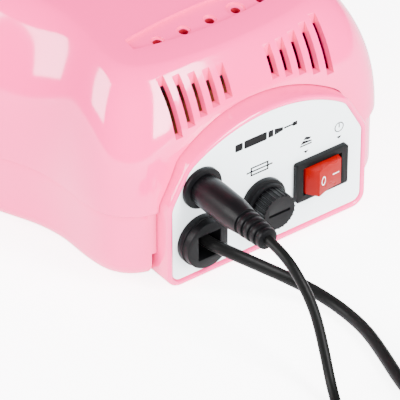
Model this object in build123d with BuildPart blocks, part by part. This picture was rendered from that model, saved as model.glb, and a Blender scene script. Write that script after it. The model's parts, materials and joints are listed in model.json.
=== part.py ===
from build123d import *
import math
import os

os.makedirs("parts", exist_ok=True)

# Frame: +Z up, the rear panel faces +Y, the sloping control panel faces -Y. Millimetres.
# The rubber feet stand on Z = 0, and X = 0 is the casing's plane of symmetry.

# ---- driving dimensions ----
wall = 2.2                    # moulded shell thickness
base_z = 3.5                  # underside of the lower casing
parting_z = 29.5              # seam between the two shells
crown_z = 78.9                # height of the top face above X = Y = 0
crown_fall = 0.12             # fall of the top face per millimetre towards the rear
panel_y = 71.5                # outer face of the rear label plate
slope_deg = 55.0              # lean of the control panel from the horizontal
slope_foot = (-80.0, 17.0)    # Y, Z where the control panel's plane starts
gap = 0.3                     # clearance between shells and what they hold

# half outline of the upper casing's rim, from the middle of the rear to the middle of the front
rim = [(0, 67.8), (22, 67.8), (41, 67.6), (49.5, 63.8), (54.8, 57), (56.6, 46), (56.6, 34), (59, 23),
       (64.2, 11.5), (69, -1), (71, -16), (68.5, -38), (57, -60), (36, -76), (0, -82.3)]
# the same points on the soft ridge round the top face
ridge = [(0, 53), (15, 52.2), (28, 50), (35, 47.2), (38.3, 42.5), (38.8, 35), (38, 25), (38.2, 15),
         (40.5, 6), (45, -4), (49.5, -16), (50, -34), (43, -50), (28, -60), (0, -64)]

# rear plate: half width, shoulder corner, arch corner and arch top, above the plate's lower edge
plate_foot_z = 4.0
plate_half = 38.0
plate_shoulder_z = 28.5
plate_arch_x, plate_arch_z = 31.0, 41.0
plate_top_z = 50.4
plate_t = 0.8
bezel_rim = 2.1
bezel_front_y = panel_y + 0.6
bezel_back_y = panel_y - 10.2

# rear fittings: X and Z of each axis
jack_xz = (27.0, 37.0)
bushing_xz = (27.2, 17.0)
fuse_xz = (2.5, 21.3)
selector_xz = (-20.8, 22.2)

foot_cord_d = 3.4
mains_cord_d = 4.2


def save(part, name):
    part.label = name
    export_step(part, f"parts/{name}.step")


# ---- casing skin ----
def bulge(s):
    """How far the skin has gone from rim (0) to ridge (1) at height fraction s."""
    return 1 - (1 - s**2.2) ** 0.62


def moved_in(points, d):
    """The half outline moved inwards by d."""
    out = []
    for i, (x, y) in enumerate(points):
        ax, ay = points[i - 1] if i else (-points[1][0], points[1][1])
        bx, by = points[i + 1] if i < len(points) - 1 else (-points[i - 1][0], points[i - 1][1])
        run = math.hypot(bx - ax, by - ay)
        nx, ny = (by - ay) / run, -(bx - ax) / run
        out.append((0 if i in (0, len(points) - 1) else x + nx * d, y + ny * d))
    return out


def skin_plane(s, drop):
    """Plane of the skin's section at height fraction s; it leans more and more towards the top."""
    tilt = math.atan(crown_fall * s)
    z = parting_z + s * (crown_z - parting_z) - drop
    return Plane(origin=(0, 0, z), x_dir=(1, 0, 0), z_dir=(0, math.sin(tilt), math.cos(tilt)))


def outline_on(plane, points):
    """Closed sketch on plane from a half outline and its mirror image."""
    lean = plane.y_dir.Y
    half = [(x, y / lean) for x, y in points]
    with BuildSketch(plane) as sk:
        with BuildLine():
            Polyline(*half, *[(-x, y) for x, y in half[-2:0:-1]], close=True)
        make_face()
    return sk.sketch


def skin_section(s, inset, drop):
    t = bulge(s)
    mixed = [(a[0] + (b[0] - a[0]) * t, a[1] + (b[1] - a[1]) * t) for a, b in zip(rim, ridge)]
    return outline_on(skin_plane(s, drop), moved_in(mixed, inset))


levels = (0, 0.35, 0.6, 0.78, 0.9, 0.97, 1)
slope = math.radians(slope_deg)
slope_out = Vector(0, -math.sin(slope), math.cos(slope))
control_mid_z = 53.0
control_mid_y = slope_foot[0] + (control_mid_z - slope_foot[1]) / math.tan(slope)
control = Plane(origin=(0, control_mid_y, control_mid_z), x_dir=(1, 0, 0), z_dir=tuple(slope_out))


def rear_plane(xz, y):
    """Plane facing the rear at the given X, Z and Y; its own x runs along -X and its y along +Z."""
    return Plane(origin=(xz[0], y, xz[1]), x_dir=(-1, 0, 0), z_dir=(0, 1, 0))


def plate_outline(grow, top=plate_top_z):
    """Closed wire edges of the rear plate's shape, grown outwards by grow, in rear-plane axes."""
    h = plate_half + grow
    ax, az = plate_arch_x + grow * 0.6, plate_arch_z + grow * 0.85
    foot = -grow - (0.4 if grow else 0)
    with BuildSketch(rear_plane((0, plate_foot_z), 0)) as sk:
        with BuildLine():
            Line((-h, foot), (h, foot))
            Line((h, foot), (h, plate_shoulder_z + grow * 0.3))
            Line((h, plate_shoulder_z + grow * 0.3), (ax, az))
            ThreePointArc((ax, az), (0, top + grow), (-ax, az))
            Line((-ax, az), (-h, plate_shoulder_z + grow * 0.3))
            Line((-h, plate_shoulder_z + grow * 0.3), (-h, foot))
        make_face()
        fillet(sk.vertices().group_by(Axis.Z)[0], 3.0 + grow)
    return sk.sketch


def skin_solid(inset, drop):
    """Solid of the casing's skin above the seam, moved in by inset and down by drop."""
    with BuildPart() as skin:
        for s in levels:
            add(skin_section(s, inset, drop))
        loft(ruled=True)
        split(bisect_by=control.offset(-inset), keep=Keep.BOTTOM)
    return skin.part


def prism(sketch, y0, y1):
    """Solid of a rear-facing sketch drawn at Y = 0, from y0 to y1."""
    with BuildPart() as bar:
        add(sketch)
        extrude(amount=y1 - y0, dir=(0, 1, 0))
    return Pos(0, y0, 0) * bar.part


vent_pitch, vent_first, vent_w = 5.22, 9.3, 2.8
vent_count = 5
bit_pitch, bit_y, bit_r = 10.3, 40.4, 1.6
bit_depth = 12.0
channel_depth = 1.2
bit_lean = math.atan(crown_fall)
bit_plane = Plane(origin=(0, bit_y, crown_z - crown_fall * bit_y), x_dir=(1, 0, 0),
                  z_dir=(0, math.sin(bit_lean), math.cos(bit_lean)))
switch_body = (18.8, 12.5)
switch_hole = (19.2, 12.9)
power_at, direction_at = (-31.0, 0.0), (31.0, 0.0)
socket_at, lamp_at = (14.0, -15.5), (-14.0, -15.5)
socket_r, lamp_r, shaft_r = 4.6, 2.5, 3.0
control_size = (90.0, 44.0)
screw_spots = [(-42, 34), (42, 34), (-44, -44), (44, -44)]
foot_spots = [(-38, 46), (38, 46), (-46, -30), (46, -30)]

rear_opening = prism(plate_outline(bezel_rim + gap), 50, 95)

with BuildPart() as upper_casing:
    add(skin_solid(0, 0))
    add(skin_solid(wall, wall), mode=Mode.SUBTRACT)
    split(bisect_by=Plane.XY.offset(parting_z), keep=Keep.TOP)
    # the control panel is sunk for its plate
    with BuildSketch(control):
        RectangleRounded(*control_size, 9)
    extrude(amount=-plate_t, mode=Mode.SUBTRACT)
    with BuildSketch(control):
        with Locations(power_at, direction_at):
            Rectangle(*switch_hole)
        with Locations(socket_at):
            Circle(socket_r + 0.1)
        with Locations(lamp_at):
            Circle(lamp_r + 0.1)
        Circle(shaft_r + 0.8)
    extrude(amount=-12, mode=Mode.SUBTRACT)
    add(rear_opening, mode=Mode.SUBTRACT)
    # vents: upright grooves that break through the leaning rear wall
    for k in range(vent_count):
        x = vent_first + vent_pitch * k
        back, floor = 57.3 - 0.2 * k * k, 58.8 - 0.75 * k - 0.18 * k * k
        with BuildSketch(Plane.XY.offset(floor)):
            with Locations((x, back + 10), (-x, back + 10)):
                Rectangle(vent_w, 20)
        extrude(amount=30, mode=Mode.SUBTRACT)
    # bit rack: a shallow channel with a row of holes along the rear of the top
    with BuildSketch(bit_plane):
        with BuildLine():
            ThreePointArc((-30.5, 0.6), (0, 4.0), (30.5, 0.6))
            Line((30.5, 0.6), (30.2, -4.6))
            ThreePointArc((30.2, -4.6), (0, -7.2), (-30.2, -4.6))
            Line((-30.2, -4.6), (-30.5, 0.6))
        make_face()
    extrude(amount=-channel_depth, mode=Mode.SUBTRACT)
    with BuildSketch(bit_plane.offset(1)):
        with GridLocations(bit_pitch, 1, 5, 1):
            Circle(bit_r)
    extrude(amount=-6, mode=Mode.SUBTRACT)
save(upper_casing.part, "upper_casing")

with BuildPart() as bit_cups:
    with BuildSketch(bit_plane.offset(-wall - 0.35)):
        with GridLocations(bit_pitch, 1, 5, 1):
            Circle(bit_r + 1.2)
            Circle(bit_r, mode=Mode.SUBTRACT)
    extrude(amount=-bit_depth)
    with BuildSketch(bit_plane.offset(-wall - 0.35 - bit_depth)):
        with GridLocations(bit_pitch, 1, 5, 1):
            Circle(bit_r + 1.2)
        with GridLocations(bit_pitch, 1, 4, 1):
            Rectangle(bit_pitch - 4, 2)
        Rectangle(4 * bit_pitch, 1.6)
    extrude(amount=-1.2)
save(bit_cups.part, "bit_cup_strip")

lower_inset = 1.3
post_r = 3.6
with BuildPart() as lower_casing:
    add(outline_on(Plane.XY.offset(base_z), moved_in(rim, lower_inset)))
    extrude(amount=parting_z - 0.15 - base_z)
    fillet(lower_casing.edges().group_by(Axis.Z)[0], 6.5)
    split(bisect_by=control.offset(-0.4), keep=Keep.BOTTOM)
    with BuildSketch(Plane.XY.offset(base_z + wall)):
        add(outline_on(Plane.XY, moved_in(rim, lower_inset + wall)))
        split(bisect_by=Plane.XZ.offset(76), keep=Keep.BOTTOM)
    extrude(amount=40, mode=Mode.SUBTRACT)
    with BuildSketch(Plane.XY.offset(base_z + 1)):
        with Locations(*screw_spots):
            Circle(post_r)
    extrude(amount=22)
    with BuildSketch(Plane.XY.offset(base_z - 1)):
        with Locations(*screw_spots):
            Circle(1.7)
    extrude(amount=30, mode=Mode.SUBTRACT)
    with BuildSketch(Plane.XY.offset(base_z - 1)):
        with Locations(*screw_spots):
            Circle(3.2)
    extrude(amount=4, mode=Mode.SUBTRACT)
    # sockets for the rubber feet
    with BuildSketch(Plane.XY.offset(base_z - 1)):
        with Locations(*foot_spots):
            Circle(5.2)
    extrude(amount=2, mode=Mode.SUBTRACT)
    add(rear_opening, mode=Mode.SUBTRACT)
    with Locations((0, 67, 6)):
        Box(84, 11, 15, mode=Mode.SUBTRACT)
save(lower_casing.part, "lower_casing")

with BuildPart() as rubber_feet:
    with BuildSketch():
        with Locations(*foot_spots):
            Circle(4.6)
    extrude(amount=base_z + 1)
    fillet(rubber_feet.edges().group_by(Axis.Z)[0], 0.8)
save(rubber_feet.part, "rubber_feet")

with BuildPart() as casing_screws:
    with BuildSketch(Plane.XY.offset(base_z + 1.2)):
        with Locations(*screw_spots):
            Circle(2.9)
    extrude(amount=1.7)
    with BuildSketch(Plane.XY.offset(base_z + 2.9)):
        with Locations(*screw_spots):
            Circle(1.5)
    extrude(amount=19)
    with BuildSketch(Plane.XY.offset(base_z + 1.2)):
        with Locations(*screw_spots):
            Rectangle(3.4, 0.7)
            Rectangle(0.7, 3.4)
    extrude(amount=0.8, mode=Mode.SUBTRACT)
save(casing_screws.part, "casing_screws")

# ---- rear panel ----
fuse_hole_r, jack_hole_r, bushing_hole_r = 6.3, 6.1, 7.6


def rear_holes(y):
    """Sketch of the four openings for the rear fittings, on the plane at y."""
    with BuildSketch(rear_plane((0, 0), y)) as sk:
        with Locations((-fuse_xz[0], fuse_xz[1])):
            Circle(fuse_hole_r)
        with Locations((-jack_xz[0], jack_xz[1])):
            Circle(jack_hole_r)
        with Locations((-bushing_xz[0], bushing_xz[1])):
            Circle(bushing_hole_r)
        with Locations((-selector_xz[0], selector_xz[1])):
            Rectangle(*switch_hole)
    return sk.sketch


with BuildPart() as rear_bezel:
    add(prism(plate_outline(bezel_rim), bezel_back_y, bezel_front_y))
    add(prism(plate_outline(-0.4), bezel_back_y - 1, panel_y - plate_t - 2.6), mode=Mode.SUBTRACT)
    add(prism(plate_outline(0.15), panel_y - plate_t - 0.02, bezel_front_y + 1), mode=Mode.SUBTRACT)
    add(rear_holes(panel_y - 12))
    extrude(amount=14, dir=(0, 1, 0), mode=Mode.SUBTRACT)
save(rear_bezel.part, "rear_bezel")

with BuildPart() as rear_label_plate:
    add(prism(plate_outline(0), panel_y - plate_t, panel_y))
    add(rear_holes(panel_y - 2))
    extrude(amount=4, dir=(0, 1, 0), mode=Mode.SUBTRACT)
save(rear_label_plate.part, "rear_label_plate")

# ---- rocker switches: the rear selector, and power and direction on the control panel ----
rocker_tip = 11.0             # degrees each way from level
rocker_pin_r = 1.2
pin_clearance = 0.05


def make_switch(name, plane):
    with BuildPart() as frame:
        with BuildSketch(plane.offset(0.02)):
            RectangleRounded(21, 15, 0.8)
        extrude(amount=2.0)
        with BuildSketch(plane.offset(0.02)):
            Rectangle(*switch_body)
        extrude(amount=-13)
        with BuildSketch(plane.offset(3)):
            Rectangle(15.6, 10.6)
        extrude(amount=-13, mode=Mode.SUBTRACT)
        turned = Plane(origin=plane.origin, x_dir=plane.x_dir, z_dir=plane.y_dir)
        with BuildSketch(turned):
            Circle(rocker_pin_r + pin_clearance)
        extrude(amount=6.2, both=True, mode=Mode.SUBTRACT)
    save(frame.part, name + "_frame")
    with BuildPart() as rocker:
        # the profile is drawn looking along the pin, tipped to the side that stands proud
        tip = math.radians(rocker_tip)
        tipped = Plane(origin=plane.origin, z_dir=plane.y_dir,
                       x_dir=plane.x_dir * math.cos(tip) - plane.z_dir * math.sin(tip))
        with BuildSketch(tipped):
            with BuildLine():
                Polyline((-6.4, 3.4), (-7.2, -0.5), (-5.3, -5.0), (0, -4.3), (5.3, -5.0), (7.2, -0.5),
                         (6.4, 3.4), (-6.4, 3.4))
            make_face()
        extrude(amount=5.0, both=True)
        with BuildSketch(turned):
            Circle(rocker_pin_r)
        extrude(amount=5.9, both=True)
    save(rocker.part, name + "_rocker")
    with BuildPart() as contacts:
        with BuildSketch(plane.offset(-13)):
            with GridLocations(6.2, 1, 3, 1):
                Rectangle(0.8, 4.8)
        extrude(amount=-7)
    save(contacts.part, name + "_contacts")


power_plane = Plane(origin=control.from_local_coords((power_at[0], power_at[1], 0)), x_dir=(1, 0, 0),
                    z_dir=tuple(slope_out))
direction_plane = Plane(origin=control.from_local_coords((direction_at[0], direction_at[1], 0)),
                        x_dir=(1, 0, 0), z_dir=tuple(slope_out))
make_switch("selector", rear_plane(selector_xz, panel_y))
make_switch("power", power_plane)
make_switch("direction", direction_plane)

# ---- fuse holder ----
fuse_face = rear_plane(fuse_xz, panel_y + 0.02)
cap_front = 9.5
with BuildPart() as fuse_holder:
    with BuildSketch(fuse_face):
        Circle(8.2)
    extrude(amount=2.2)
    with BuildSketch(fuse_face.offset(2.2)):
        Circle(7.2)
    extrude(amount=1.4)
    with BuildSketch(fuse_face):
        Circle(6.1)
    extrude(amount=-30)
    with BuildSketch(fuse_face.offset(5)):
        Circle(4.7)
    extrude(amount=-33.5, mode=Mode.SUBTRACT)
save(fuse_holder.part, "fuse_holder")

with BuildPart() as fuse_nut:
    with BuildSketch(fuse_face.offset(-plate_t - 2.62)):
        RegularPolygon(8.6, 6)
        Circle(6.12, mode=Mode.SUBTRACT)
    extrude(amount=-3)
save(fuse_nut.part, "fuse_holder_nut")

with BuildPart() as fuse_cap:
    with BuildSketch(fuse_face.offset(3.9)):
        Circle(6.2)
        with PolarLocations(6.2, 24):
            Circle(0.3)
    extrude(amount=cap_front - 3.9 - 0.02)
    fillet(fuse_cap.edges().group_by(Axis.Y)[-1].filter_by(GeomType.CIRCLE), 0.25)
    with BuildSketch(fuse_face.offset(3.95)):
        Circle(4.4)
    extrude(amount=-11)
    with BuildSketch(fuse_face.offset(cap_front)):
        Rectangle(8.4, 1.0)
    extrude(amount=-0.8, mode=Mode.SUBTRACT)
save(fuse_cap.part, "fuse_cap")

with BuildPart() as glass_fuse:
    with BuildSketch(fuse_face.offset(-7.4)):
        Circle(2.5)
    extrude(amount=-20)
save(glass_fuse.part, "glass_fuse")

# ---- jack and plug of the foot lead ----
jack_face = rear_plane(jack_xz, panel_y + 0.02)
plug_pin_r = 2.7
with BuildPart() as foot_jack:
    with BuildSketch(jack_face):
        Circle(7.3)
    extrude(amount=1.8)
    with BuildSketch(jack_face):
        Circle(5.9)
    extrude(amount=-18)
    with BuildSketch(jack_face.offset(4)):
        Circle(plug_pin_r + 0.1)
    extrude(amount=-19, mode=Mode.SUBTRACT)
save(foot_jack.part, "foot_jack")

with BuildPart() as jack_nut:
    with BuildSketch(jack_face.offset(-plate_t - 2.62)):
        RegularPolygon(7.3, 6)
        Circle(5.92, mode=Mode.SUBTRACT)
    extrude(amount=-2.5)
save(jack_nut.part, "foot_jack_nut")

plug_tail = 35.0
with BuildPart() as foot_plug:
    with BuildSketch(Plane(origin=(jack_xz[0], panel_y, jack_xz[1]), x_dir=(1, 0, 0), z_dir=(0, 0, 1))):
        with BuildLine():
            Polyline((0, 2.0), (5.3, 2.0), (5.5, 8), (5.3, 18), (4.6, 23), (4.1, 30), (3.6, plug_tail),
                     (0, plug_tail), (0, 2.0))
        make_face()
    revolve(axis=Axis((jack_xz[0], panel_y, jack_xz[1]), (0, 1, 0)))
    # rings of the bend relief
    for k in range(4):
        with BuildSketch(jack_face.offset(23.6 + 2.9 * k)):
            Circle(7)
            Circle(3.9 - 0.25 * k, mode=Mode.SUBTRACT)
        extrude(amount=1.3, mode=Mode.SUBTRACT)
save(foot_plug.part, "foot_plug")

with BuildPart() as plug_pin:
    with BuildSketch(jack_face.offset(1.98)):
        Circle(plug_pin_r)
    extrude(amount=-14.5)
    fillet(plug_pin.edges().group_by(Axis.Y)[0], 1.2)
save(plug_pin.part, "foot_plug_pin")

# ---- bushing of the mains lead ----
bushing_face = rear_plane(bushing_xz, panel_y + 0.02)
mouth_w, mouth_h = 8.6, 9.2
with BuildPart() as bushing:
    with BuildSketch(bushing_face):
        Circle(9.1)
    extrude(amount=2.6)
    with BuildSketch(bushing_face.offset(2.6)):
        Circle(8.6)
        with Locations((9.8, 0)):
            Rectangle(5, 20, mode=Mode.SUBTRACT)
    extrude(amount=2.6)
    with BuildSketch(bushing_face):
        Circle(7.4)
    extrude(amount=-9)
    with BuildSketch(bushing_face.offset(6)):
        Rectangle(mouth_w, mouth_h)
    extrude(amount=-9, mode=Mode.SUBTRACT)
    with BuildSketch(bushing_face):
        Circle(mains_cord_d / 2)
    extrude(amount=-12, mode=Mode.SUBTRACT)
save(bushing.part, "mains_bushing")

with BuildPart() as clip:
    with BuildSketch(bushing_face.offset(-9.1)):
        Circle(8.4)
        Circle(mains_cord_d / 2 + 0.2, mode=Mode.SUBTRACT)
    extrude(amount=-3)
save(clip.part, "bushing_clip")

# ---- control panel ----
with BuildPart() as control_plate:
    with BuildSketch(control.offset(-plate_t)):
        RectangleRounded(control_size[0] - 0.4, control_size[1] - 0.4, 8.8)
        with Locations(power_at, direction_at):
            Rectangle(*switch_hole, mode=Mode.SUBTRACT)
        with Locations(socket_at):
            Circle(socket_r + 0.1, mode=Mode.SUBTRACT)
        with Locations(lamp_at):
            Circle(lamp_r + 0.1, mode=Mode.SUBTRACT)
        Circle(shaft_r + 0.8, mode=Mode.SUBTRACT)
    extrude(amount=plate_t)
save(control_plate.part, "control_plate")

knob_r, knob_h = 11.5, 13.0
with BuildPart() as speed_knob:
    with BuildSketch(control.offset(0.6)):
        Circle(knob_r)
    extrude(amount=3)
    with BuildSketch(control.offset(3.6)):
        Circle(knob_r - 1.6)
        with PolarLocations(knob_r - 1.6, 20):
            Circle(0.55)
    extrude(amount=knob_h - 3.6)
    fillet(speed_knob.edges().filter_by(GeomType.CIRCLE).sort_by(Axis.Z)[-1:], 0.3)
    with BuildSketch(control.offset(knob_h)):
        with Locations((0, (knob_r - 1.6) / 2 + 1)):
            Rectangle(1.2, knob_r - 4)
    extrude(amount=-0.6, mode=Mode.SUBTRACT)
    with BuildSketch(control.offset(0.6)):
        Circle(shaft_r)
    extrude(amount=9, mode=Mode.SUBTRACT)
save(speed_knob.part, "speed_knob")

with BuildPart() as pot_shaft:
    with BuildSketch(control.offset(9.6)):
        Circle(shaft_r)
    extrude(amount=-17)
save(pot_shaft.part, "potentiometer_shaft")

with BuildPart() as pot_body:
    with BuildSketch(control.offset(-2.6)):
        Circle(8)
        with Locations((0, -8)):
            Rectangle(12, 8)
    extrude(amount=-9)
    with BuildSketch(control.offset(-2)):
        Circle(shaft_r + 0.06)
    extrude(amount=-6, mode=Mode.SUBTRACT)
save(pot_body.part, "potentiometer")

socket_plane = Plane(origin=control.from_local_coords((socket_at[0], socket_at[1], 0)), x_dir=(1, 0, 0),
                     z_dir=tuple(slope_out))
socket_bore_r = 1.75
with BuildPart() as socket:
    with BuildSketch(socket_plane):
        Circle(5.6)
    extrude(amount=1.6)
    with BuildSketch(socket_plane):
        Circle(socket_r)
    extrude(amount=-16)
    with BuildSketch(socket_plane.offset(3)):
        Circle(socket_bore_r)
    extrude(amount=-17, mode=Mode.SUBTRACT)
save(socket.part, "handpiece_socket")

lamp_plane = Plane(origin=control.from_local_coords((lamp_at[0], lamp_at[1], 0)), x_dir=(1, 0, 0),
                   z_dir=tuple(slope_out))
with BuildPart() as lamp:
    with BuildSketch(lamp_plane.offset(-4)):
        Circle(lamp_r)
    extrude(amount=5.2)
    fillet(lamp.edges().filter_by(GeomType.CIRCLE).sort_by(Axis.Z)[-1:], 1.2)
save(lamp.part, "indicator_lamp")

# ---- inside the casing ----
floor_z = base_z + wall
with BuildPart() as bracket:
    with Locations((0, 8, floor_z + 0.7)):
        Box(52, 66, 1.2)
    with Locations((0, 33.5, floor_z + 7), (0, -17.5, floor_z + 7)):
        Box(40, 1.2, 12)
save(bracket.part, "transformer_bracket")
with BuildPart() as core:
    with Locations((0, 8, floor_z + 20.4)):
        Box(44, 28, 37)
        Box(46, 12.4, 22, mode=Mode.SUBTRACT)
    with Locations((0, 8, floor_z + 20.4)):
        Box(14, 12.6, 22)
save(core.part, "transformer_core")
with BuildPart() as winding:
    with Locations((0, 8, floor_z + 20.4)):
        Box(30, 44, 21)
        Box(48, 28.4, 60, mode=Mode.SUBTRACT)
save(winding.part, "transformer_winding")

board_z = floor_z + 8
with BuildPart() as board:
    with Locations((0, -44, board_z)):
        Box(62, 36, 1.6)
    with Locations((-26, -44, board_z), (26, -44, board_z)):
        Cylinder(1.6, 4, mode=Mode.SUBTRACT)
save(board.part, "control_board")
with BuildPart() as standoffs:
    with Locations((-26, -44, floor_z + 3.62), (26, -44, floor_z + 3.62)):
        Cylinder(3, 7.1)
save(standoffs.part, "board_posts")
with BuildPart() as capacitors:
    with Locations((-16, -46, board_z + 7.9), (-4, -46, board_z + 7.9)):
        Cylinder(5, 14)
save(capacitors.part, "capacitors")
with BuildPart() as chips:
    with Locations((8, -40, board_z + 2.4)):
        Box(10, 8, 3)
    with Locations((12, -54, board_z + 2.4)):
        Box(14, 6, 3)
save(chips.part, "board_chips")
with BuildPart() as sink:
    with Locations((21, -36, board_z + 9.4)):
        Box(3, 14, 17)
    for k in range(4):
        with Locations((21 + 3.5, -41.5 + 3.6 * k, board_z + 9.4)):
            Box(5, 1.2, 17)
save(sink.part, "heat_sink")


# ---- leads ----
def lead(points, diameter, name):
    """Tube along straight runs joined by arcs as large as their runs allow; prints its radii."""
    pts = [Vector(*p) for p in points]
    radii = []
    for a, b, c in zip(pts, pts[1:], pts[2:]):
        turn = math.radians((b - a).get_angle(c - b))
        radii.append(0.45 * min((b - a).length, (c - b).length) / math.tan(turn / 2))
    with BuildPart() as tube:
        with BuildLine() as path:
            FilletPolyline(*points, radius=radii)
        with BuildSketch(Plane(origin=points[0], z_dir=tuple(pts[1] - pts[0]))):
            Circle(diameter / 2)
        sweep()
    length = path.wires()[0].length
    print(name, "length", round(length, 1), "radii/d", [round(r / diameter, 1) for r in radii],
          "volume ratio", round(tube.part.volume / (length * math.pi * diameter**2 / 4), 3))
    save(tube.part, name)


rA, rB = foot_cord_d / 2, mains_cord_d / 2
foot_route = [(27.0, 106.5, 37.0), (27.0, 114.0, 36.4), (26.9, 122.5, 31.8), (26.3, 129.6, 23.2),
              (27.4, 135.8, 12.8), (30.2, 143.0, 4.9), (34.0, 151.5, rA), (37.6, 160.5, rA + 0.01),
              (37.4, 168.5, rA), (36.6, 176.0, rA)]
mains_route = [(27.2, 62.5, 17.0), (27.2, 74.0, 17.0), (24.6, 82.2, 16.8), (18.0, 88.8, 12.8),
               (10.4, 95.2, 7.8), (4.6, 103.5, 4.2), (2.0, 113.5, 2.3), (2.4, 125.5, rB), (5.6, 138.0, rB),
               (9.8, 151.5, rB), (12.8, 165.5, rB), (13.7, 178.0, rB)]
lead(foot_route, foot_cord_d, "foot_cord")
lead(mains_route, mains_cord_d, "mains_cord")

foot_coil_at, foot_coil_r = (59.5, 176.0), 19.5
mains_coil_at, mains_coil_r = (-14.0, 178.0), 23.5


def coil(at, mid_r, half_w, height, name):
    with BuildPart() as ring:
        with Locations((at[0], at[1], height / 2)):
            Cylinder(mid_r + half_w, height)
            Cylinder(mid_r - half_w, height * 2, mode=Mode.SUBTRACT)
        fillet(ring.edges().filter_by(GeomType.CIRCLE), foot_cord_d / 2)
    save(ring.part, name)


coil(foot_coil_at, foot_coil_r, 1.5 * foot_cord_d, 2.9 * foot_cord_d, "foot_coil")
coil(mains_coil_at, mains_coil_r, 1.5 * mains_cord_d, 2.9 * mains_cord_d, "mains_coil")

# ---- mains plug and the pedal on the foot lead ----
plug_x, plug_y, plug_z = -18.0, 218.0, 7.0
mains_tail = [(13.7, 178.0, 9.37), (13.4, 187.5, 8.6), (11.0, 197.0, 6.0), (5.0, 206.2, 3.8),
              (-3.6, 213.1, 4.4), (-11.6, 217.0, 6.2), (-18.6, 218.0, 7.0)]
lead(mains_tail, mains_cord_d, "mains_cord_tail")
with BuildPart() as mains_plug:
    with BuildSketch(Plane(origin=(plug_x - 9, plug_y, plug_z), x_dir=(0, 1, 0), z_dir=(-1, 0, 0))):
        RectangleRounded(20, 13.6, 5)
    with BuildSketch(Plane(origin=(plug_x - 26, plug_y, plug_z), x_dir=(0, 1, 0), z_dir=(-1, 0, 0))):
        RectangleRounded(26, 13.8, 5)
    loft()
    with BuildSketch(Plane(origin=(plug_x, plug_y, plug_z), x_dir=(0, 1, 0), z_dir=(-1, 0, 0))):
        Circle(3.6)
    extrude(amount=10, taper=-6)
save(mains_plug.part, "mains_plug")
with BuildPart() as pins:
    with BuildSketch(Plane(origin=(plug_x - 26, plug_y, plug_z), x_dir=(0, 1, 0), z_dir=(-1, 0, 0))):
        with GridLocations(18.6, 1, 2, 1):
            Circle(2)
    extrude(amount=19)
    fillet(pins.edges().filter_by(GeomType.CIRCLE).group_by(Axis.X)[0], 0.8)
save(pins.part, "mains_plug_pins")

pedal_w, pedal_l, pedal_x, toe_y = 64.0, 84.0, 27.0, 218.0
pedal_wall, pedal_h = 2.5, 14.0
pedal_mid_y = toe_y + pedal_l / 2
hinge_y, hinge_z, hinge_r = toe_y + pedal_l - 9, 9.5, 1.5
gland_z = 5.0
foot_tail = [(36.6, 176.0, 7.59), (36.5, 184.0, 7.0), (35.7, 191.5, 5.2), (33.6, 199.0, 2.6),
             (30.6, 205.5, 2.4), (28.2, 211.0, 4.2), (27.1, 216.4, 5.0)]
lead(foot_tail, foot_cord_d, "foot_cord_tail")
with BuildPart() as gland:
    with BuildSketch(Plane(origin=(pedal_x, toe_y - 6, gland_z), x_dir=(1, 0, 0), z_dir=(0, 1, 0))):
        Circle(2.6)
    extrude(amount=6.0, taper=-8)
    with BuildSketch(Plane(origin=(pedal_x, toe_y - 7, gland_z), x_dir=(1, 0, 0), z_dir=(0, 1, 0))):
        Circle(rA)
    extrude(amount=4.4, mode=Mode.SUBTRACT)
save(gland.part, "pedal_gland")

with BuildPart() as pedal_base:
    with BuildSketch(Plane.XY.offset(1.0)):
        with Locations((pedal_x, pedal_mid_y)):
            RectangleRounded(pedal_w, pedal_l, 6)
    extrude(amount=pedal_h - 1)
    with BuildSketch(Plane.XY.offset(1 + pedal_wall)):
        with Locations((pedal_x, pedal_mid_y)):
            RectangleRounded(pedal_w - 2 * pedal_wall, pedal_l - 2 * pedal_wall, 1)
    extrude(amount=pedal_h, mode=Mode.SUBTRACT)
    with Locations(Location((pedal_x, hinge_y, hinge_z), (0, 90, 0))):
        Cylinder(hinge_r, pedal_w + 2, mode=Mode.SUBTRACT)
save(pedal_base.part, "pedal_base")

with BuildPart() as pedal_pads:
    with BuildSketch():
        with Locations((pedal_x, pedal_mid_y)):
            with GridLocations(pedal_w - 18, pedal_l - 18, 2, 2):
                Circle(4.5)
    extrude(amount=0.98)
save(pedal_pads.part, "pedal_pads")

with BuildPart() as pedal_pin:
    with Locations(Location((pedal_x, hinge_y, hinge_z), (0, 90, 0))):
        Cylinder(hinge_r, pedal_w - 0.4)
save(pedal_pin.part, "pedal_pin")

tread_w, tread_wall = pedal_w - 2 * pedal_wall - 1.2, 2.4
tread_toe, tread_heel = toe_y + pedal_wall + 1.2, toe_y + pedal_l - pedal_wall - 1.2
with BuildPart() as treadle:
    with BuildSketch(Plane.YZ.offset(pedal_x - tread_w / 2)):
        with BuildLine():
            Polyline((tread_toe + 0.6, 10.0), (tread_toe + 0.6, 25.0), (tread_toe + 5, 28.0),
                     (tread_heel - 6, 19.0), (tread_heel - 1, 13.0), (tread_heel - 1, 8.0), (tread_toe + 0.6, 10.0))
        make_face()
    extrude(amount=tread_w)
    fillet(treadle.edges().group_by(Axis.Z)[-1], 1.2)
    with BuildSketch(Plane.YZ.offset(pedal_x - tread_w / 2 + tread_wall)):
        with BuildLine():
            Polyline((tread_toe + 3, 5.0), (tread_toe + 3, 24.0), (tread_toe + 6, 25.4),
                     (tread_heel - 7, 16.4),
                     (tread_heel - 4, 12.0), (tread_heel - 4, 5.0), (tread_toe + 3, 5.0))
        make_face()
    extrude(amount=tread_w - 2 * tread_wall, mode=Mode.SUBTRACT)
    with Locations(Location((pedal_x, hinge_y, hinge_z), (0, 90, 0))):
        Cylinder(hinge_r + pin_clearance, pedal_w, mode=Mode.SUBTRACT)
save(treadle.part, "pedal_treadle")

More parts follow.
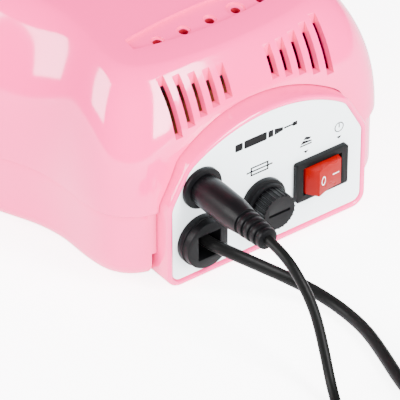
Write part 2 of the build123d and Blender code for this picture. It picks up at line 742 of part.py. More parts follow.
spring_y = toe_y + 26
with BuildPart() as spring:
    with Locations((pedal_x, spring_y, 3.52 + 9)):
        Cylinder(4.5, 18)
        Cylinder(3.6, 30, mode=Mode.SUBTRACT)
save(spring.part, "pedal_spring")
with BuildPart() as microswitch:
    with Locations((pedal_x, toe_y + 48, 3.52 + 5)):
        Box(20, 6.4, 10)
    with Locations((pedal_x - 4, toe_y + 48, 3.52 + 10.5)):
        Box(2, 2, 1.6)
save(microswitch.part, "pedal_microswitch")
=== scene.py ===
"""Electric nail drill control unit: studio view of its rear, with its leads and foot pedal.

Lengths in tables and outlines are in millimetres; the scene is in metres.
"""

import bpy
import json
import math
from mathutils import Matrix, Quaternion, Vector


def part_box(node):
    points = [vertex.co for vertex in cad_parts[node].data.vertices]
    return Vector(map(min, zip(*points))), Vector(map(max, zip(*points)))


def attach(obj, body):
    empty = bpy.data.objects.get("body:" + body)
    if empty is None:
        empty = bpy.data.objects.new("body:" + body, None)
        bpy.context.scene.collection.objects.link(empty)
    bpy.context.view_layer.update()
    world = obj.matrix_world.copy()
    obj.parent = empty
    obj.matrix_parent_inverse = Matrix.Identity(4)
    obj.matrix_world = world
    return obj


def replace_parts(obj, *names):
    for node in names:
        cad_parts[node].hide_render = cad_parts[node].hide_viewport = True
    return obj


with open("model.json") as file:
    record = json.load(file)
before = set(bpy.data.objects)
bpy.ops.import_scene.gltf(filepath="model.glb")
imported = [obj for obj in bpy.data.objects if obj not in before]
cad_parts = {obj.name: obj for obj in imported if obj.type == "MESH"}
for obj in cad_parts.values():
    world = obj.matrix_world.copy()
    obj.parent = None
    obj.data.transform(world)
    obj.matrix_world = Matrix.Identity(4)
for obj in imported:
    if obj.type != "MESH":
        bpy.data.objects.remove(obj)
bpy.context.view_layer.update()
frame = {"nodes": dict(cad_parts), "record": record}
bpy.ops.object.select_all(action="DESELECT")

# ---- camera ----
# A long lens looks down on the rear of the unit, from the side where the leads come out.
plate_low, plate_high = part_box("rear_label_plate")
aim = Vector((0.02717, plate_high.y, 0.03169))
view_back = Vector((0.4821, 0.6464, 0.5915)).normalized()
camera_distance = 1.2338
eye = aim + view_back * camera_distance
bpy.ops.object.camera_add(location=eye, rotation=(-view_back).to_track_quat("-Z", "Y").to_euler())
camera = bpy.context.object
camera.data.lens = 351
camera.data.sensor_width = 36
camera.data.clip_end = 20
bpy.context.scene.camera = camera

# ---- studio ----
# White paper underneath, two softboxes whose reflections lie on the flanks, and a wide light that only
# lifts the shadows.
paper_sink = 0.0004
bpy.ops.mesh.primitive_plane_add(size=8, location=(0, 0, -paper_sink))
table_top = bpy.context.object
table_top.name = "table_top"
paper = bpy.data.materials.new("paper")
paper.use_nodes = True
paper_nodes, paper_links = paper.node_tree.nodes, paper.node_tree.links
paper_shader = paper_nodes["Principled BSDF"]
paper_shader.inputs["Base Color"].default_value = (0.93, 0.93, 0.94, 1)
paper_shader.inputs["Roughness"].default_value = 0.9
paper_shader.inputs["Emission Color"].default_value = (1, 1, 1, 1)
# the paper is bright white in direct view, and throws only a little of its glow on the unit
direct_look = paper_nodes.new("ShaderNodeLightPath")
paper_glow = paper_nodes.new("ShaderNodeMapRange")
paper_glow.inputs["To Min"].default_value = 0.8
paper_glow.inputs["To Max"].default_value = 6.0
paper_links.new(direct_look.outputs["Is Camera Ray"], paper_glow.inputs["Value"])
paper_links.new(paper_glow.outputs["Result"], paper_shader.inputs["Emission Strength"])
table_top.data.materials.append(paper)


def soft_light(name, place, towards, width, height, power, lean=0):
    """Rectangular softbox at place, turned towards a point and leaned over by some degrees."""
    place, towards = Vector(place), Vector(towards)
    turn = (towards - place).to_track_quat("-Z", "Y") @ Quaternion((0, 0, 1), math.radians(lean))
    bpy.ops.object.light_add(type="AREA", location=place, rotation=turn.to_euler())
    box = bpy.context.object
    box.name = name
    box.data.shape = "RECTANGLE"
    box.data.size = width
    box.data.size_y = height
    box.data.energy = power


middle = (0, 0, 0.04)
soft_light("light_side", (1.047, -0.381, 0.67), middle, 0.52, 0.86, 34, lean=8)
soft_light("light_rear", (-0.33, 1.06, 0.74), middle, 0.4, 1.3, 65, lean=-15)
soft_light("light_fill", (0.75, 1.0, 0.75), middle, 1.2, 1.2, 48)
bpy.context.object.visible_glossy = False
world = bpy.data.worlds.new("studio")
bpy.context.scene.world = world
world.use_nodes = True
world.node_tree.nodes["Background"].inputs["Color"].default_value = (1, 1, 1, 1)
world.node_tree.nodes["Background"].inputs["Strength"].default_value = 0.3

# ---- finishes ----
finishes = {}
slot_of = {row["node"]: row["material_slot"] for row in frame["record"]["subparts"]}
body_with = {n: b for b, members in frame["record"]["behaviour"]["bodies"].items() for n in members}


def moulded(slot, colour, roughness, grain=0.1, grain_scale=1500, shade=0.04, coat=0.0, metal=0.0):
    """Finish with a slightly cloudy colour and gloss over a fine surface grain."""
    made = bpy.data.materials.new(slot)
    made.use_nodes = True
    nodes, links = made.node_tree.nodes, made.node_tree.links
    shader = nodes["Principled BSDF"]
    shader.inputs["Metallic"].default_value = metal
    shader.inputs["Coat Weight"].default_value = coat
    shader.inputs["Coat Roughness"].default_value = 0.04
    shader.inputs["Specular IOR Level"].default_value = 0.5 if coat or metal else 0.09
    where = nodes.new("ShaderNodeTexCoord")
    cloud = nodes.new("ShaderNodeTexNoise")
    cloud.inputs["Scale"].default_value = 45
    cloud.inputs["Detail"].default_value = 4
    links.new(where.outputs["Object"], cloud.inputs["Vector"])
    ramp = nodes.new("ShaderNodeValToRGB")
    ramp.color_ramp.elements[0].color = (*[c * (1 - shade) for c in colour], 1)
    ramp.color_ramp.elements[1].color = (*[min(1, c * (1 + shade)) for c in colour], 1)
    links.new(cloud.outputs["Fac"], ramp.inputs["Fac"])
    links.new(ramp.outputs["Color"], shader.inputs["Base Color"])
    gloss = nodes.new("ShaderNodeMapRange")
    gloss.inputs["To Min"].default_value = roughness * 0.85
    gloss.inputs["To Max"].default_value = min(1, roughness * 1.15)
    links.new(cloud.outputs["Fac"], gloss.inputs["Value"])
    links.new(gloss.outputs["Result"], shader.inputs["Roughness"])
    fine = nodes.new("ShaderNodeTexNoise")
    fine.inputs["Scale"].default_value = grain_scale
    links.new(where.outputs["Object"], fine.inputs["Vector"])
    bump = nodes.new("ShaderNodeBump")
    bump.inputs["Strength"].default_value = grain
    bump.inputs["Distance"].default_value = 0.0001
    links.new(fine.outputs["Fac"], bump.inputs["Height"])
    links.new(bump.outputs["Normal"], shader.inputs["Normal"])
    finishes[slot] = made
    return made


# ---- leads ----
# Two round black flexible leads: the thin one to the foot pedal leaves the jack plug, and the thicker
# mains one leaves its bushing. Their spare length is wound in neat coils behind the unit.
moulded("black_cable", (0.003, 0.003, 0.003), 0.42, grain=0.25, grain_scale=2600)


def wound(centre, middle_r, d, clockwise, first_angle):
    """Turns of a neat coil, three beside each other, two above them and three more on top."""
    rows = [(middle_r + d, 0), (middle_r, 0), (middle_r - d, 0), (middle_r - d / 2, 1), (middle_r + d / 2, 1),
            (middle_r - d, 2), (middle_r, 2), (middle_r + d, 2), (middle_r + d, 2)]
    steps, crossing = 24, 18
    layer_rise = 0.866 * d
    points = []
    for here, after in zip(rows, rows[1:]):
        for k in range(steps):
            part = max(0, k - crossing) / (steps - crossing)
            shift = part * part * (3 - 2 * part)
            rise = min(1, part * 2)
            radius = here[0] + (after[0] - here[0]) * shift
            height = d / 2 + layer_rise * (here[1] + (after[1] - here[1]) * rise)
            angle = first_angle + (-1 if clockwise else 1) * 2 * math.pi * k / steps
            points.append((centre[0] + radius * math.cos(angle),
                           centre[1] + radius * math.sin(angle), height))
    return points


def lead(name, route, d):
    """Round lead along one smooth spline; the route is in millimetres."""
    line = bpy.data.curves.new(name, "CURVE")
    line.dimensions = "3D"
    line.bevel_depth = d / 2 / 1000
    line.bevel_resolution = 5
    line.use_fill_caps = True
    spline = line.splines.new("NURBS")
    spline.points.add(len(route) - 1)
    for point, (x, y, z) in zip(spline.points, route):
        point.co = (x / 1000, y / 1000, z / 1000, 1)
    spline.order_u = 3
    spline.use_endpoint_u = True
    spline.resolution_u = 5
    piece = bpy.data.objects.new(name, line)
    bpy.context.collection.objects.link(piece)
    line.materials.append(finishes["black_cable"])
    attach(piece, "root")
    return piece


foot_d, mains_d = 3.4, 4.2
foot_route = [(27.0, 106.0, 37.0), (27.0, 114.0, 36.4), (26.9, 122.5, 31.8), (26.3, 129.6, 23.2),
              (27.4, 135.8, 12.8), (30.2, 143.0, 4.9), (34.0, 151.5, 1.7), (37.6, 160.5, 1.71),
              (37.4, 168.5, 1.7)]
foot_route += wound((59.5, 176.0), 19.5, foot_d, True, math.pi)
foot_route += [(36.6, 176.0, 7.59), (36.5, 184.0, 7.0), (35.7, 191.5, 5.2), (33.6, 199.0, 2.6),
               (30.6, 205.5, 2.4), (28.2, 211.0, 4.2), (27.1, 216.2, 5.0)]
mains_route = [(27.2, 64.0, 17.0), (27.2, 74.0, 17.0), (24.6, 82.2, 16.8), (18.0, 88.8, 12.8),
               (10.4, 95.2, 7.8), (4.6, 103.5, 4.2), (2.0, 113.5, 2.3), (2.4, 125.5, 2.1), (5.6, 138.0, 2.1),
               (9.8, 151.5, 2.1), (12.8, 165.5, 2.1)]
mains_route += wound((-14.0, 178.0), 23.5, mains_d, False, 0.0)
mains_route += [(13.7, 178.0, 9.37), (13.4, 187.5, 8.6), (11.0, 197.0, 6.0), (5.0, 206.2, 3.8),
                (-3.6, 213.1, 4.4), (-11.6, 217.0, 6.2), (-18.0, 218.0, 7.0)]
foot_lead = lead("foot_lead", foot_route, foot_d)
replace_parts(foot_lead, "foot_cord", "foot_coil", "foot_cord_tail")
mains_lead = lead("mains_lead", mains_route, mains_d)
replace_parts(mains_lead, "mains_cord", "mains_coil", "mains_cord_tail")

# ---- casing shells ----
# Upper shell and lower tray, moulded in glossy pale pink ABS and screwed together from below. The flanks
# draw in towards a soft ridge round the leaning top, and a flat panel slopes across the front.
moulded("pink_shell", (0.94, 0.028, 0.225), 0.11, grain=0.03, grain_scale=900, shade=0.012, coat=0.4)
parting, crown, crown_fall, wall = 29.5, 78.9, 0.12, 2.2
# half outlines seen from above: the skin's foot at the seam, and the ridge round the top
rim_half = [(0, 67.8), (22, 67.8), (41, 67.6), (49.5, 63.8), (54.8, 57), (56.6, 46), (56.6, 34), (59, 23),
            (64.2, 11.5), (69, -1), (71, -16), (68.5, -38), (57, -60), (36, -76), (0, -82.3)]
ridge_half = [(0, 53), (15, 52.2), (28, 50), (35, 47.2), (38.3, 42.5), (38.8, 35), (38, 25), (38.2, 15),
              (40.5, 6), (45, -4), (49.5, -16), (50, -34), (43, -50), (28, -60), (0, -64)]
panel_slope = math.radians(55)
slope_tan = math.tan(panel_slope)
panel_foot_y, panel_foot_z = -80, 17
corner_reach, corner_push = 3.0, 0.75


def closed_line(half, per_span=8):
    """Smooth closed outline through a half outline and its mirror image."""
    full = [Vector(p) for p in half] + [Vector((-x, y)) for x, y in half[-2:0:-1]]
    line = []
    for i in range(len(full)):
        p0, p1, p2, p3 = (full[(i + k) % len(full)] for k in (-1, 0, 1, 2))
        t1 = (p1 - p0).length ** 0.5
        t2 = t1 + (p2 - p1).length ** 0.5
        t3 = t2 + (p3 - p2).length ** 0.5
        for k in range(per_span):
            t = t1 + (t2 - t1) * k / per_span
            a1 = p0 + (p1 - p0) * (t / t1)
            a2 = p1 + (p2 - p1) * ((t - t1) / (t2 - t1))
            a3 = p2 + (p3 - p2) * ((t - t2) / (t3 - t2))
            b1 = a1 + (a2 - a1) * (t / t2)
            b2 = a2 + (a3 - a2) * ((t - t1) / (t3 - t1))
            line.append(b1 + (b2 - b1) * ((t - t1) / (t2 - t1)))
    for _ in range(10):
        line = [(line[i - 1] + line[i] * 2 + line[(i + 1) % len(line)]) / 4 for i in range(len(line))]
    return line


def inset_line(line, d):
    """The closed outline moved inwards by d."""
    moved = []
    for i, here in enumerate(line):
        run = (line[(i + 1) % len(line)] - line[i - 1]).normalized()
        moved.append(here + Vector((run.y, -run.x)) * d)
    return moved


def sloped(x, y, height, back_off):
    """The point, kept behind the control panel's plane with a rounded corner."""
    for _ in range(3):
        z = height(y)
        front = panel_foot_y + (z - panel_foot_z) / slope_tan + back_off
        blend = max(corner_reach - abs(y - front), 0) / corner_reach
        y = max(y, front) + blend * blend * corner_push
    return Vector((x, y, height(y)))


def skin_rings(inset, drop, levels, cap):
    """Rings of the upper shell's skin from the seam to the ridge, and on to the middle of the top."""
    rims, ridges = inset_line(closed_line(rim_half), inset), inset_line(closed_line(ridge_half), inset)
    tall = crown - parting
    rings = []
    for k in range(levels + 1):
        quarter = math.pi / 2 * k / levels
        s = math.sin(quarter) ** (2 / 2.2)
        t = 1 - math.cos(quarter) ** 1.24 if k < levels else 1

        def height(y, s=s):
            return parting + s * tall - crown_fall * s * y - drop * min(1, s * 4)

        rings.append([sloped(a.x + (b.x - a.x) * t, a.y + (b.y - a.y) * t, height, inset / 0.8192)
                      for a, b in zip(rims, ridges)])
    middle_of_top = Vector((0, 0, crown - drop))
    for k in range(1, cap):
        u = 1 - k / cap
        rings.append([middle_of_top + (p - middle_of_top) * u for p in rings[levels]])
    return rings, middle_of_top


def ringed(name, rings, first=None, last=None, ring_closed=False):
    """Mesh through rings of points in millimetres; first and last are pole points that close its ends."""
    n = len(rings[0])
    points = [p / 1000 for ring in rings for p in ring]
    faces = []
    for r in range(len(rings) - 1 + ring_closed):
        a, b = r * n, (r + 1) % len(rings) * n
        for i in range(n):
            j = (i + 1) % n
            faces.append((a + i, a + j, b + j, b + i))
    for pole, start in ((first, 0), (last, (len(rings) - 1) * n)):
        if pole is not None:
            points.append(pole / 1000)
            for i in range(n):
                faces.append((start + i, start + (i + 1) % n, len(points) - 1))
    mesh = bpy.data.meshes.new(name)
    mesh.from_pydata(points, [], faces)
    piece = bpy.data.objects.new(name, mesh)
    bpy.context.collection.objects.link(piece)
    alone(piece)
    bpy.ops.object.mode_set(mode="EDIT")
    bpy.ops.mesh.select_all(action="SELECT")
    bpy.ops.mesh.normals_make_consistent(inside=False)
    bpy.ops.object.mode_set(mode="OBJECT")
    return piece


def alone(piece):
    """Only this piece is selected and active."""
    bpy.ops.object.select_all(action="DESELECT")
    piece.select_set(True)
    bpy.context.view_layer.objects.active = piece


def cut_away(piece, cutter):
    """Takes the cutter's volume out of the piece."""
    alone(piece)
    cut = piece.modifiers.new("cut", "BOOLEAN")
    cut.operation = "DIFFERENCE"
    cut.solver = "EXACT"
    cut.object = cutter
    bpy.ops.object.modifier_apply(modifier="cut")
    bpy.data.objects.remove(cutter)


def edges_rounded(piece, width, segments=2, angle=30):
    """Bevels the piece's sharp edges and shades the rest smooth."""
    alone(piece)
    edge = piece.modifiers.new("edge", "BEVEL")
    edge.width = width / 1000
    edge.segments = segments
    edge.limit_method = "ANGLE"
    edge.angle_limit = math.radians(angle)
    bpy.ops.object.modifier_apply(modifier="edge")
    bpy.ops.object.shade_smooth_by_angle(angle=math.radians(angle))


def finished(piece, slot, body="root"):
    """Gives the piece its finish and the body that it moves with."""
    piece.data.materials.clear()
    piece.data.materials.append(finishes[slot])
    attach(piece, body)
    return piece


def prism_of(name, outline, near, far, place):
    """Closed prism: an outline of two-number points, and place(u, v, depth) that puts them in space."""
    rings = [[place(u, v, depth) for u, v in outline] for depth in (near, far)]
    mid = [sum((p for p in ring), Vector()) / len(ring) for ring in rings]
    return ringed(name, rings, first=mid[0], last=mid[1])


def on_rear(u, v, depth):
    """A point of the rear face: X, Z and Y."""
    return Vector((u, depth, v))


plate_foot, plate_half, plate_front = plate_low.z * 1000, plate_high.x * 1000, plate_high.y * 1000


def arc_points(a, b, c, steps):
    """Points on the circle through a, b and c, without c."""
    (ax, ay), (bx, by), (cx, cy) = a, b, c
    d = 2 * (ax * (by - cy) + bx * (cy - ay) + cx * (ay - by))
    aa, bb, cc = ax * ax + ay * ay, bx * bx + by * by, cx * cx + cy * cy
    ux = (aa * (by - cy) + bb * (cy - ay) + cc * (ay - by)) / d
    uy = (aa * (cx - bx) + bb * (ax - cx) + cc * (bx - ax)) / d
    r = math.hypot(ax - ux, ay - uy)
    start, mid, end = (math.atan2(y - uy, x - ux) for x, y in (a, b, c))
    sweep = (end - start) % (2 * math.pi)
    if (mid - start) % (2 * math.pi) > sweep:
        sweep -= 2 * math.pi
    return [(ux + r * math.cos(start + sweep * k / steps), uy + r * math.sin(start + sweep * k / steps))
            for k in range(steps)]


def arch_outline(grow):
    """Outline of the rear plate grown by grow: flat foot, straight sides, shoulders and an arched top."""
    h, foot = plate_half + grow, -grow - (0.4 if grow > 0 else 0)
    r = 3.0 + max(grow, -1)
    ax, az = 31.0 + grow * 0.6, 41.0 + grow * 0.85
    shoulder = 28.5 + grow * 0.3
    d45 = r * (1 - math.sqrt(0.5))
    right = arc_points((h - r, foot), (h - d45, foot + d45), (h, foot + r), 8)
    right += [(h, foot + r + (shoulder - 2 - foot - r) * k / 8) for k in range(8)]
    right += [(h, shoulder - 2), (h - 0.25, shoulder - 0.2), (h - 1.1, shoulder + 1.7)]
    right += [(h - 1.1 + (ax + 0.9 - h + 1.1) * k / 6, shoulder + 1.7 + (az - 1.9 - shoulder - 1.7) * k / 6)
              for k in range(1, 6)]
    right += [(ax + 0.9, az - 1.9), (ax + 0.1, az - 0.75), (ax - 1.4, az + 0.55)]
    top = 50.4 + grow
    crest = arc_points((ax - 1.4, az + 0.55), (0, top), (1.4 - ax, az + 0.55), 36)
    left = [(-x, z) for x, z in reversed(right[:-1])]
    return [(x, z + plate_foot) for x, z in right[:-1] + crest + [(1.4 - ax, az + 0.55)] + left]


outer_rings, outer_pole = skin_rings(0, 0, 36, 12)
inner_rings, inner_pole = skin_rings(wall, wall, 20, 6)
foot_ring = outer_rings[0]
lip = inset_line([Vector((p.x, p.y)) for p in foot_ring], 0.5)
lip_ring = [Vector((p.x, p.y, parting)) for p in lip]
outer_rings[0] = [Vector((p.x, p.y, parting + 0.5)) for p in foot_ring]
upper_shell = ringed("upper_shell", list(reversed(inner_rings)) + [lip_ring] + outer_rings,
                     first=inner_pole, last=outer_pole)
opening_grow = 2.4
cut_away(upper_shell, prism_of("opening", arch_outline(opening_grow), 50, 95, on_rear))

# five vents on each side of the arch, shorter and lower towards the flanks
vent_first, vent_pitch, vent_half = 9.3, 5.22, 1.4
for k in range(5):
    for side in (1, -1):
        x = side * (vent_first + vent_pitch * k)
        back, floor = 57.3 - 0.2 * k * k, 58.8 - 0.75 * k - 0.18 * k * k
        groove = [(x - vent_half, floor), (x + vent_half, floor), (x + vent_half, floor + 30),
                  (x - vent_half, floor + 30)]
        cut_away(upper_shell, prism_of("groove", groove, back, back + 20, on_rear))

# the bit rack: a shallow channel across the rear of the top, with a row of holes in it
bit_y, bit_lean = 40.4, math.atan(crown_fall)
bit_across = Vector((0, math.cos(bit_lean), -math.sin(bit_lean)))
bit_up = Vector((0, math.sin(bit_lean), math.cos(bit_lean)))
bit_middle = Vector((0, bit_y, crown - crown_fall * bit_y))


def on_bit_rack(u, v, depth):
    """A point of the bit rack, v towards the rear."""
    return bit_middle + Vector((u, 0, 0)) + bit_across * v + bit_up * depth


channel = arc_points((-30.5, 0.6), (0, 4.0), (30.5, 0.6), 30) + [(30.5, 0.6)]
channel += arc_points((30.2, -4.6), (0, -7.2), (-30.2, -4.6), 30) + [(-30.2, -4.6)]
cut_away(upper_shell, prism_of("channel", channel, -1.2, 6, on_bit_rack))
bit_pitch, bit_hole_r, bit_floor = 10.3, 1.6, -6
mouth_r, wide_mouth_r, mouth_floor = 2.3, 3.3, -1.9
for k in range(5):
    mouth = wide_mouth_r if k == 1 else mouth_r
    for radius, floor, phase in ((bit_hole_r, bit_floor, 0.07), (mouth, mouth_floor, 0.11)):
        turns = [phase + math.pi * i / 16 for i in range(32)]
        ring = [(bit_pitch * (k - 2) + radius * math.cos(a), radius * math.sin(a)) for a in turns]
        cut_away(upper_shell, prism_of("bit_hole", ring, floor, 3, on_bit_rack))

# the recess of the control plate and the openings under it
slope_up = Vector((0, 1, slope_tan)).normalized()
slope_out = Vector((0, -slope_tan, 1)).normalized()
control_z = 53
control_middle = Vector((0, panel_foot_y + (control_z - panel_foot_z) / slope_tan, control_z))


def on_panel(u, v, depth):
    """A point of the sloping control panel, v up the slope."""
    return control_middle + Vector((u, 0, 0)) + slope_up * v + slope_out * depth


def round_box(w, h, r, steps=8):
    """Outline of a rectangle with rounded corners."""
    line = []
    for quarter, (sx, sy) in enumerate(((1, 1), (-1, 1), (-1, -1), (1, -1))):
        for k in range(steps + 1):
            a = math.pi / 2 * (quarter + k / steps)
            line.append((sx * (w / 2 - r) + r * math.cos(a), sy * (h / 2 - r) + r * math.sin(a)))
    return line


switch_u = 31
cut_away(upper_shell, prism_of("recess", round_box(90, 44, 9), -0.8, 8, on_panel))
for side in (-switch_u, switch_u):
    hole = [(u + side, v) for u, v in round_box(19.2, 12.9, 0.2, 1)]
    cut_away(upper_shell, prism_of("switch_hole", hole, -8, 2, on_panel))
edges_rounded(upper_shell, 0.22, 2, 32)
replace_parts(finished(upper_shell, "pink_shell"), "upper_casing")

tray_line = inset_line(closed_line(rim_half), 1.3)


def tray_ring(inset, z):
    """The tray's outline at a height, moved inwards by inset."""
    line = inset_line(tray_line, inset) if inset else tray_line
    return [sloped(p.x, p.y, lambda y: z, 0.5) for p in line]


tray_floor, fillet_r, tray_top = 3.5, 6.5, parting - 0.15
outside = [tray_ring(fillet_r * (1 - math.sin(a)), tray_floor + fillet_r * (1 - math.cos(a)))
           for a in (math.pi / 2 * k / 8 for k in range(9))]
outside = [[Vector((p.x * u, p.y * u, tray_floor)) for p in outside[0]] for u in (0.3, 0.6, 0.85)] + outside
outside += [tray_ring(0, z) for z in (14, 18, 22, 26, tray_top - 0.4)] + [tray_ring(0.3, tray_top)]
inside = [tray_ring(wall, tray_top), tray_ring(wall, tray_floor + wall + 2),
          tray_ring(wall + 2, tray_floor + wall)]
inside += [[Vector((p.x * u, p.y * u, p.z)) for p in inside[-1]] for u in (0.85, 0.6, 0.3)]
lower_tray = ringed("lower_tray", outside + inside, first=Vector((0, 0, tray_floor)),
                    last=Vector((0, 0, tray_floor + wall)))
cut_away(lower_tray, prism_of("opening", arch_outline(opening_grow), 50, 95, on_rear))
notch = [(-42, -1.5), (42, -1.5), (42, 13.5), (-42, 13.5)]
cut_away(lower_tray, prism_of("notch", notch, 61.5, 72.5, on_rear))


def upright(u, v, depth):
    """A point seen from above: X, Y and Z."""
    return Vector((u, v, depth))


# sockets for the four screws, and wider ones for the four feet
for spots, r, top in ((((-42, 34), (42, 34), (-44, -44), (44, -44)), 3.2, 7.0),
                      (((-38, 46), (38, 46), (-46, -30), (46, -30)), 5.2, 4.5)):
    for x, y in spots:
        ring = [(x + r * math.cos(math.pi * i / 16), y + r * math.sin(math.pi * i / 16)) for i in range(32)]
        cut_away(lower_tray, prism_of("socket", ring, 2, top, upright))
edges_rounded(lower_tray, 0.2, 2, 32)
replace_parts(finished(lower_tray, "pink_shell"), "lower_casing")

# ---- rear bezel ----
# The arched pink frame that holds the label plate, moulded with a rounded front edge and set into the
# casing's rear opening with a fine seam round it.
bezel_rings = []
for grow, y in ((2.1, 61.3), (2.1, 66), (2.1, 70.9), (2.0, 71.5), (1.7, 71.92), (1.25, 72.1), (0.8, 72.1),
                (0.45, 71.95), (0.22, 71.7), (0.15, 71.3), (0.15, 70.68), (-2.6, 70.66), (-2.6, 68.1),
                (-0.4, 68.05), (-0.4, 61.3)):
    bezel_rings.append([Vector((x, y, z)) for x, z in arch_outline(grow)])
rear_frame = ringed("rear_frame", bezel_rings, ring_closed=True)
edges_rounded(rear_frame, 0.15, 2, 40)
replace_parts(finished(rear_frame, "pink_shell"), "rear_bezel")

# ---- other finishes ----
# Satin silver label sheets, semi-matte black fittings, the dark switch frames and their glossy red
# rockers, rubber, plated steel and brass, and the parts inside the casing.
moulded("silver_plate", (0.78, 0.85, 0.88), 0.32, grain=0.04, grain_scale=2200, shade=0.015)
moulded("black_plastic", (0.0022, 0.0022, 0.0026), 0.38, grain=0.12, grain_scale=2400)
moulded("frame_plastic", (0.0018, 0.002, 0.0022), 0.5, grain=0.2, grain_scale=2600)
moulded("red_rocker", (0.20, 0.0004, 0.0004), 0.28, grain=0.03, shade=0.02)
moulded("rubber", (0.02, 0.02, 0.021), 0.7, grain=0.35, grain_scale=1800)
moulded("nickel", (0.72, 0.70, 0.66), 0.2, metal=1.0)
moulded("steel", (0.56, 0.57, 0.6), 0.32, metal=1.0)
moulded("copper_winding", (0.48, 0.19, 0.06), 0.3, grain=0.6, grain_scale=700, metal=0.6)
moulded("core_iron", (0.09, 0.09, 0.1), 0.45, grain=0.5, grain_scale=600)
moulded("board_green", (0.02, 0.16, 0.06), 0.35, grain=0.2)
moulded("component_black", (0.02, 0.02, 0.022), 0.4)
moulded("heatsink_metal", (0.7, 0.71, 0.73), 0.35, metal=1.0)
moulded("fuse_glass", (0.85, 0.9, 0.92), 0.05)
moulded("lamp_lens", (0.6, 0.03, 0.02), 0.08, coat=0.6)
for name, node in frame["nodes"].items():
    if slot_of[name] in finishes:
        node.data.materials.clear()
        node.data.materials.append(finishes[slot_of[name]])

# the strip that closes the bit holes from below is painted a darker pink as painted shade, standing in for
# the deep shade inside the holes
cup_strip = frame["nodes"]["bit_cup_strip"].data
cup_strip.materials.clear()
cup_strip.materials.append(moulded("cup_pink", (0.30, 0.004, 0.02), 0.4))

# ---- rear and front fittings ----
# Moulded and turned hardware: every edge that a hand can touch has its small moulded radius.


def softened(node, width, segments=2, angle=30):
    """The fitting with its edges rounded."""
    mesh = frame["nodes"][node].data.copy()
    piece = bpy.data.objects.new(node + "_rounded", mesh)
    bpy.context.collection.objects.link(piece)
    alone(piece)
    bpy.ops.mesh.customdata_custom_splitnormals_clear()
    bpy.ops.object.mode_set(mode="EDIT")
    bpy.ops.mesh.select_all(action="SELECT")
    bpy.ops.mesh.remove_doubles(threshold=0.000002)
    bpy.ops.mesh.dissolve_limited(angle_limit=math.radians(1))
    bpy.ops.object.mode_set(mode="OBJECT")
    edges_rounded(piece, width, segments, angle)
    finished(piece, slot_of[node], body_with[node])
    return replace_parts(piece, node)


for node, width in (("selector_frame", 0.3), ("power_frame", 0.3), ("direction_frame", 0.3),
                    ("selector_rocker", 0.35), ("power_rocker", 0.35), ("direction_rocker", 0.35),
                    ("fuse_holder", 0.3), ("fuse_cap", 0.15), ("foot_jack", 0.3), ("foot_plug", 0.2),
                    ("mains_bushing", 0.3), ("handpiece_socket", 0.3), ("speed_knob", 0.2),
                    ("mains_plug", 0.4), ("pedal_base", 0.5), ("pedal_treadle", 0.6), ("pedal_gland", 0.2)):
    softened(node, width)

# ---- printed symbols ----
# Screen-printed signs on the rear plate: a handpiece with its bit, a fuse, and a pedal and a dial with an
# arrow under each, over the selector; ticks round the speed knob; and white marks on the rockers.


def printed(name, outlines, place, slot, body="root", near=-0.02, far=0.06):
    """One thin print made of closed outlines."""
    parts = [prism_of(name, line, near, far, place) for line in outlines]
    bpy.ops.object.select_all(action="DESELECT")
    for part in parts:
        part.select_set(True)
    bpy.context.view_layer.objects.active = parts[0]
    if len(parts) > 1:
        bpy.ops.object.join()
    parts[0].name = name
    return finished(parts[0], slot, body)


def on_plate(u, v, depth):
    """A point on the rear plate, u to the left and v up as the plate is read."""
    return Vector((-u, plate_front + depth, v + plate_foot))


def bar(u, v, w, h):
    """Outline of a bar with its middle at u, v."""
    return [(u - w / 2, v - h / 2), (u + w / 2, v - h / 2), (u + w / 2, v + h / 2), (u - w / 2, v + h / 2)]


def ring_bars(u, v, r, thick, tall=1.0, steps=24):
    """Short bars that make a circle round u, v."""
    bars = []
    for k in range(steps):
        a, b = 2 * math.pi * k / steps, 2 * math.pi * (k + 1) / steps
        corners = [(r - thick / 2, a), (r + thick / 2, a), (r + thick / 2, b), (r - thick / 2, b)]
        bars.append([(u + q * math.cos(t), v + tall * q * math.sin(t)) for q, t in corners])
    return bars


# the printing ink is deeper than the black of the parts inside
moulded("component_black", (0.0015, 0.0015, 0.0018), 0.5)

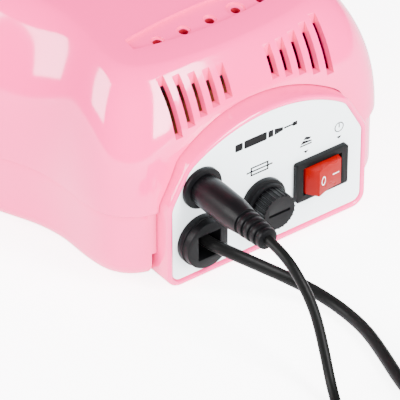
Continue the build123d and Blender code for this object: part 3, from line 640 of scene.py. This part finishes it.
# a drill handpiece lying on its side: end cap, grip, collar, nose and bit
pen_v = 41.5
handpiece = []
for u, length, thick, r in ((-11.8, 3.0, 2.8, 0.5), (-5.2, 9.0, 3.1, 0.5), (0.9, 2.0, 2.6, 0.3)):
    handpiece.append([(x + u, y + pen_v) for x, y in round_box(length, thick, r, 3)])
handpiece += [[(2.4, 42.7), (5.8, 42.1), (5.8, 40.9), (2.4, 40.3)], bar(8.0, pen_v, 3.6, 0.6),
              bar(10.6, pen_v, 1.8, 1.5)]
printed("print_handpiece", handpiece, on_plate, "component_black")
printed("print_fuse", [bar(-3.5, 29.8, 10.4, 0.55), bar(-3.5, 31.2, 7, 0.55), bar(-3.5, 28.4, 7, 0.55),
                       bar(-6.8, 29.8, 0.55, 3.3), bar(-0.2, 29.8, 0.55, 3.3)], on_plate, "component_black")
printed("print_pedal", [[(12.9, 30.9), (17.6, 30.9), (17.6, 31.4), (12.9, 31.4)],
                        [(13.1, 31.8), (14.0, 33.0), (17.6, 32.2), (17.6, 31.8)],
                        [(14.2, 33.4), (16.6, 32.8), (17.3, 33.5), (15.1, 34.3)],
                        [(14.3, 28.8), (16.3, 28.8), (15.3, 27.8)]], on_plate, "component_black")
printed("print_dial", ring_bars(28.8, 32.4, 1.7, 0.35) + [bar(28.8, 33.0, 0.4, 1.6)]
        + [[(27.8, 28.8), (29.8, 28.8), (28.8, 27.8)]], on_plate, "component_black")
tick_ring, tick_start, tick_half = [], 13.4, 0.25
for k in range(11):
    angle, tick_end = math.radians(240 - 30 * k), tick_start + 0.8 + 0.12 * k
    along, across = Vector((math.cos(angle), math.sin(angle))), Vector((-math.sin(angle), math.cos(angle)))
    corners = [along * q + across * w for q, w in ((tick_start, -tick_half), (tick_end, -tick_half),
                                                   (tick_end, tick_half), (tick_start, tick_half))]
    tick_ring.append([(p.x, p.y) for p in corners])
printed("print_speed_ticks", tick_ring, on_panel, "component_black")

white_mark = moulded("white_mark", (0.9, 0.9, 0.9), 0.4)
tip = math.radians(11)
fall = math.atan(0.7 / 5.3)
rocker_height = 4.3
selector_low, selector_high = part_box("selector_frame")
selector_pivot = Vector(((selector_low.x + selector_high.x) * 500, plate_front,
                         (selector_low.z + selector_high.z) * 500))
rear_out, rear_up, across_unit = Vector((0, 1, 0)), Vector((0, 0, 1)), Vector((1, 0, 0))
for name, out, up, side, pivot in (
        ("selector", rear_out, rear_up, -across_unit, selector_pivot),
        ("power", slope_out, slope_up, across_unit, on_panel(-switch_u, 0, 0)),
        ("direction", slope_out, slope_up, across_unit, on_panel(switch_u, 0, 0))):
    leaned = side * math.cos(tip) - out * math.sin(tip)
    rise = side * math.sin(tip) + out * math.cos(tip)

    def on_rocker(u, v, depth):
        """A point on the rocker's hollow face, u from its pin towards its lower end."""
        return (pivot + leaned * (u * math.cos(fall)) + up * v
                + rise * (rocker_height + abs(u) * math.sin(fall) + depth))

    marks = ring_bars(-3.0, 0, 1.0, 0.22, tall=1.5) + [bar(3.1, 0, 2.6, 0.3)]
    marked = printed(name + "_marks", marks, on_rocker, "lamp_lens", name + "_rocker", -0.03, 0.04)
    marked.data.materials.clear()
    marked.data.materials.append(white_mark)
